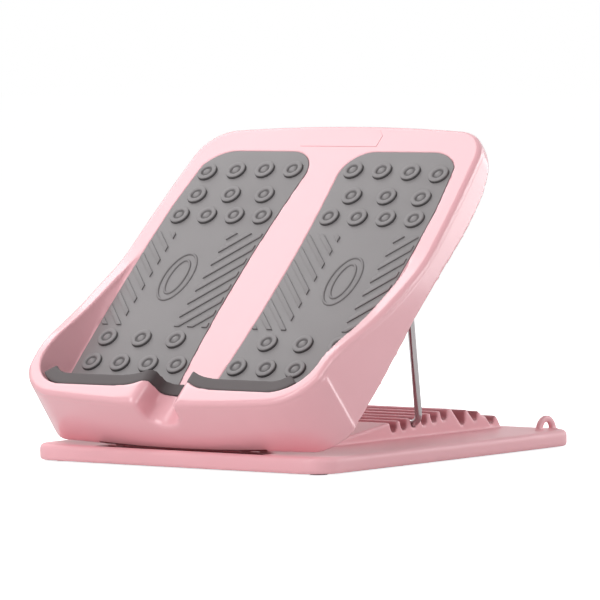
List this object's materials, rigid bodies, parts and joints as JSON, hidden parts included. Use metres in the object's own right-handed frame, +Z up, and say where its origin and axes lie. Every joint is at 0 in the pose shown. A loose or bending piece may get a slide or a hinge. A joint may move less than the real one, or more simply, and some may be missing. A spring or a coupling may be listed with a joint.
{
  "type": "slant board",
  "caption": "Tilting foot board for calf stretching: a ribbed foot deck with a raised heel cup, held up by a wire prop that stands in a notched base.",
  "frame": {"origin": "middle of the board's footprint, on the surface that it stands on", "axes": "+X to the right seen from the heel end, +Y from the heel end to the toe end, +Z up"},
  "size_m": [0.3576, 0.4454, 0.3094],
  "materials": {
    "base_plastic": "satin pink moulded plastic",
    "deck_plastic": "satin pink moulded plastic",
    "pad_rubber": "matt grey rubber",
    "strip_rubber": "matt dark grey rubber",
    "foot_rubber": "matt black rubber",
    "plated_wire": "bright plated steel wire",
    "zinc_steel": "zinc plated steel",
    "clamp_plastic": "pink moulded plastic"
  },
  "bodies": {
    "base": {"base_plate": "base_plastic", "hinge_pin_left": "zinc_steel", "hinge_pin_right": "zinc_steel", "pin_push_nut_left": "zinc_steel", "pin_push_nut_right": "zinc_steel", "rubber_foot_front_left": "foot_rubber", "rubber_foot_front_right": "foot_rubber", "rubber_foot_middle_left": "foot_rubber", "rubber_foot_middle_right": "foot_rubber", "rubber_foot_rear_left": "foot_rubber", "rubber_foot_rear_right": "foot_rubber"},
    "deck": {"deck_shell": "deck_plastic", "foot_pad_left": "pad_rubber", "foot_pad_right": "pad_rubber", "heel_strip_left": "strip_rubber", "heel_strip_right": "strip_rubber", "prop_clamp_left": "clamp_plastic", "prop_clamp_right": "clamp_plastic", "clamp_screws": "zinc_steel"},
    "prop": {"prop_wire": "plated_wire"}
  },
  "joints": [
    {"name": "deck_tilt", "type": "hinge", "parent": "base", "child": "deck", "pos_m": [0, -0.17195, 0.0268], "axis": [1, 0, 0], "range_deg": [0, 28]},
    {"name": "prop_swing", "type": "hinge", "parent": "deck", "child": "prop", "pos_m": [0, 0.02555, 0.21528], "axis": [1, 0, 0], "range_deg": [-14, 0]}
  ],
  "couplings": [
    {"joint": "prop_swing", "follows": "deck_tilt", "ratio": -0.5}
  ]
}
